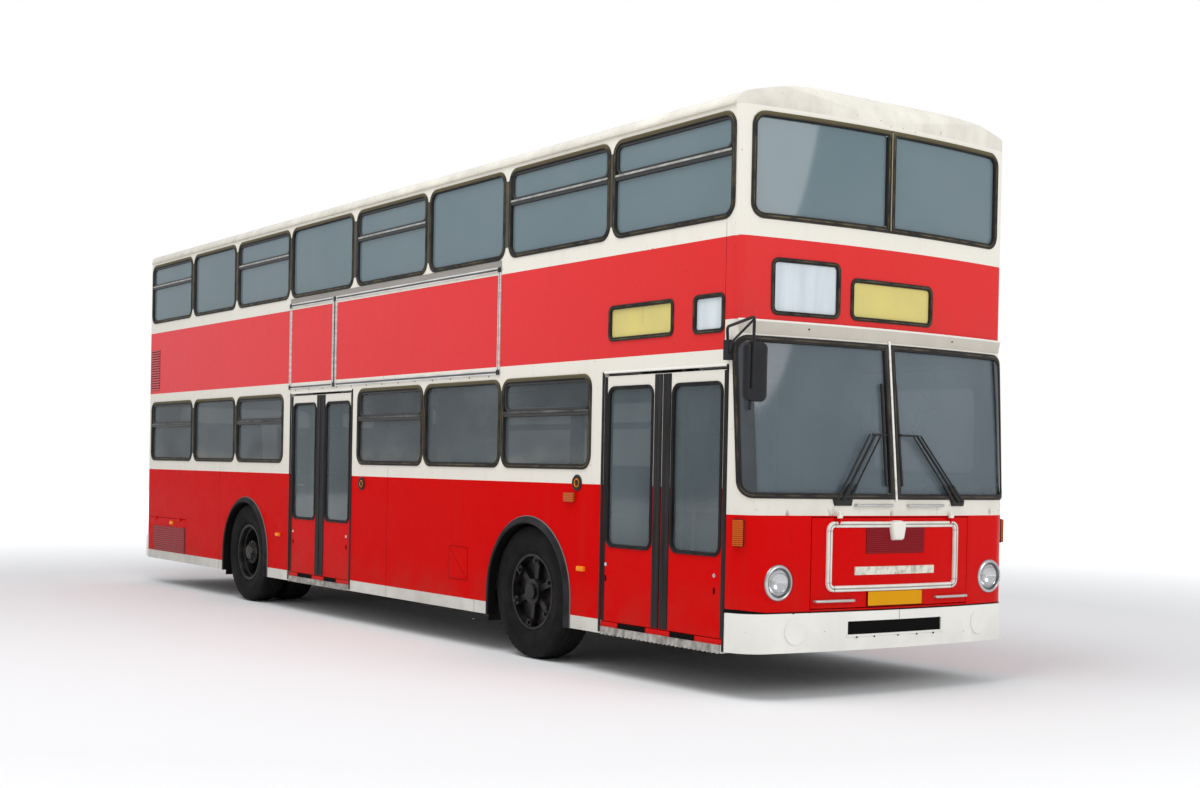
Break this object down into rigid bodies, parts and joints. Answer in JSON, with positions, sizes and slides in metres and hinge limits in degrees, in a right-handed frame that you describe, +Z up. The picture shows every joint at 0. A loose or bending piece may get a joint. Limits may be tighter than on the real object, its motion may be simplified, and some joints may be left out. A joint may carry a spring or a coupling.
{
  "type": "double decker bus",
  "caption": "Double decker city bus with a flat two-pane nose, glazed upper deck, inward gliding doors, steered front wheels and twin rear wheels.",
  "frame": {"origin": "on the ground, in the middle of the whole length and width, mirrors included", "axes": "+X forward, +Y to the driver side, +Z up"},
  "size_m": [11.518, 2.956, 4.06],
  "materials": {
    "tyre": "worn black rubber",
    "wheel_paint": "satin black paint",
    "window_glass": "tinted glass",
    "door_paint": "red and cream gloss paint",
    "bright_steel": "satin steel tube",
    "chassis_paint": "black chassis paint",
    "floor_covering": "ribbed grey floor covering",
    "seat_cover": "seat fabric",
    "inside_plastic": "grey moulded plastic",
    "rail_aluminium": "anodised aluminium",
    "black_plastic": "matt black",
    "lamp_plastic": "coloured lens",
    "bumper_paint": "cream paint",
    "body_paint": "red and cream gloss paint, faded"
  },
  "bodies": {
    "root": {"advert_rails": "rail_aluminium", "arch_trims": "wheel_paint", "bumpers": "bumper_paint", "cab_fittings": "inside_plastic", "chassis_frame": "chassis_paint", "displays": "lamp_plastic", "engine_block": "chassis_paint", "front_apron": "body_paint", "front_axle": "chassis_paint", "grab_poles": "bright_steel", "lamps": "lamp_plastic", "left_lower_wall": "body_paint", "left_upper_wall": "body_paint", "lower_floor": "floor_covering", "mirrors": "black_plastic", "nose_handles": "bright_steel", "rear_axle": "chassis_paint", "rear_wall": "body_paint", "right_lower_wall": "body_paint", "right_upper_wall": "body_paint", "roof": "body_paint", "screen_frame": "body_paint", "seat_frames": "inside_plastic", "seat_pads": "seat_cover", "stairs": "floor_covering", "upper_floor": "floor_covering", "upper_front": "body_paint", "wheel_boxes": "inside_plastic", "window_glass": "window_glass", "windscreen": "window_glass", "wipers": "black_plastic"},
    "front_left_knuckle": {"front_left_knuckle": "chassis_paint"},
    "front_left_wheel": {"front_left_tyre": "tyre", "front_left_rim": "wheel_paint"},
    "rear_left_wheel": {"rear_left_tyres": "tyre", "rear_left_rims": "wheel_paint"},
    "front_right_knuckle": {"front_right_knuckle": "chassis_paint"},
    "front_right_wheel": {"front_right_tyre": "tyre", "front_right_rim": "wheel_paint"},
    "rear_right_wheel": {"rear_right_tyres": "tyre", "rear_right_rims": "wheel_paint"},
    "steering_wheel": {"steering_wheel": "inside_plastic"},
    "front_door_aft_post": {"front_door_aft_arms": "bright_steel"},
    "front_door_aft_leaf": {"front_door_aft_leaf": "door_paint", "front_door_aft_glass": "window_glass"},
    "front_door_fore_post": {"front_door_fore_arms": "bright_steel"},
    "front_door_fore_leaf": {"front_door_fore_leaf": "door_paint", "front_door_fore_glass": "window_glass"},
    "mid_door_aft_post": {"mid_door_aft_arms": "bright_steel"},
    "mid_door_aft_leaf": {"mid_door_aft_leaf": "door_paint", "mid_door_aft_glass": "window_glass"},
    "mid_door_fore_post": {"mid_door_fore_arms": "bright_steel"},
    "mid_door_fore_leaf": {"mid_door_fore_leaf": "door_paint", "mid_door_fore_glass": "window_glass"},
    "front_hatch": {"front_hatch": "body_paint"},
    "engine_lid": {"engine_lid": "body_paint"},
    "left_engine_flap": {"left_engine_flap": "body_paint"},
    "right_engine_flap": {"right_engine_flap": "body_paint"}
  },
  "joints": [
    {"name": "left_steer", "type": "hinge", "parent": "root", "child": "front_left_knuckle", "pos_m": [2.927, 0.965, 0.515], "axis": [0, 0, 1], "range_deg": [-35, 35]},
    {"name": "front_left_roll", "type": "hinge", "parent": "front_left_knuckle", "child": "front_left_wheel", "pos_m": [2.927, 0.965, 0.515], "axis": [0, 1, 0], "continuous": true},
    {"name": "rear_left_roll", "type": "hinge", "parent": "root", "child": "rear_left_wheel", "pos_m": [-2.64, 0.965, 0.515], "axis": [0, 1, 0], "continuous": true},
    {"name": "right_steer", "type": "hinge", "parent": "root", "child": "front_right_knuckle", "pos_m": [2.927, -0.965, 0.515], "axis": [0, 0, 1], "range_deg": [-35, 35]},
    {"name": "front_right_roll", "type": "hinge", "parent": "front_right_knuckle", "child": "front_right_wheel", "pos_m": [2.927, -0.965, 0.515], "axis": [0, 1, 0], "continuous": true},
    {"name": "rear_right_roll", "type": "hinge", "parent": "root", "child": "rear_right_wheel", "pos_m": [-2.64, -0.965, 0.515], "axis": [0, 1, 0], "continuous": true},
    {"name": "steering_wheel_turn", "type": "hinge", "parent": "root", "child": "steering_wheel", "pos_m": [5.01, 0.7, 1.235], "axis": [-0.7584, 0, 0.6518], "range_deg": [-490, 490]},
    {"name": "front_door_open", "type": "hinge", "parent": "root", "child": "front_door_aft_post", "pos_m": [3.913, -1.185, 1.3], "axis": [0, 0, 1], "range_deg": [0, 82]},
    {"name": "front_door_aft_swing", "type": "hinge", "parent": "front_door_aft_post", "child": "front_door_aft_leaf", "pos_m": [4.252, -1.185, 1.3], "axis": [0, 0, 1], "range_deg": [-164, 0]},
    {"name": "front_door_fore_open", "type": "hinge", "parent": "root", "child": "front_door_fore_post", "pos_m": [5.277, -1.185, 1.3], "axis": [0, 0, -1], "range_deg": [0, 82]},
    {"name": "front_door_fore_swing", "type": "hinge", "parent": "front_door_fore_post", "child": "front_door_fore_leaf", "pos_m": [4.938, -1.185, 1.3], "axis": [0, 0, -1], "range_deg": [-164, 0]},
    {"name": "mid_door_open", "type": "hinge", "parent": "root", "child": "mid_door_aft_post", "pos_m": [-1.514, -1.185, 1.3], "axis": [0, 0, 1], "range_deg": [0, 82]},
    {"name": "mid_door_aft_swing", "type": "hinge", "parent": "mid_door_aft_post", "child": "mid_door_aft_leaf", "pos_m": [-1.17775, -1.185, 1.3], "axis": [0, 0, 1], "range_deg": [-164, 0]},
    {"name": "mid_door_fore_open", "type": "hinge", "parent": "root", "child": "mid_door_fore_post", "pos_m": [-0.161, -1.185, 1.3], "axis": [0, 0, -1], "range_deg": [0, 82]},
    {"name": "mid_door_fore_swing", "type": "hinge", "parent": "mid_door_fore_post", "child": "mid_door_fore_leaf", "pos_m": [-0.49725, -1.185, 1.3], "axis": [0, 0, -1], "range_deg": [-164, 0]},
    {"name": "front_hatch_lift", "type": "hinge", "parent": "root", "child": "front_hatch", "pos_m": [5.592, 0, 1.186], "axis": [0, -1, 0], "range_deg": [0, 80]},
    {"name": "engine_lid_lift", "type": "hinge", "parent": "root", "child": "engine_lid", "pos_m": [-5.706, 0, 1.182], "axis": [0, 1, 0], "range_deg": [0, 75]},
    {"name": "left_flap_lift", "type": "hinge", "parent": "root", "child": "left_engine_flap", "pos_m": [-5.01, 1.256, 0.787], "axis": [1, 0, 0], "range_deg": [0, 85]},
    {"name": "right_flap_lift", "type": "hinge", "parent": "root", "child": "right_engine_flap", "pos_m": [-5.01, -1.256, 0.787], "axis": [-1, 0, 0], "range_deg": [0, 85]}
  ],
  "couplings": [
    {"joint": "right_steer", "follows": "left_steer", "ratio": 1},
    {"joint": "steering_wheel_turn", "follows": "left_steer", "ratio": 14},
    {"joint": "front_door_aft_swing", "follows": "front_door_open", "ratio": -2},
    {"joint": "front_door_fore_open", "follows": "front_door_open", "ratio": 1},
    {"joint": "front_door_fore_swing", "follows": "front_door_open", "ratio": -2},
    {"joint": "mid_door_aft_swing", "follows": "mid_door_open", "ratio": -2},
    {"joint": "mid_door_fore_open", "follows": "mid_door_open", "ratio": 1},
    {"joint": "mid_door_fore_swing", "follows": "mid_door_open", "ratio": -2}
  ]
}
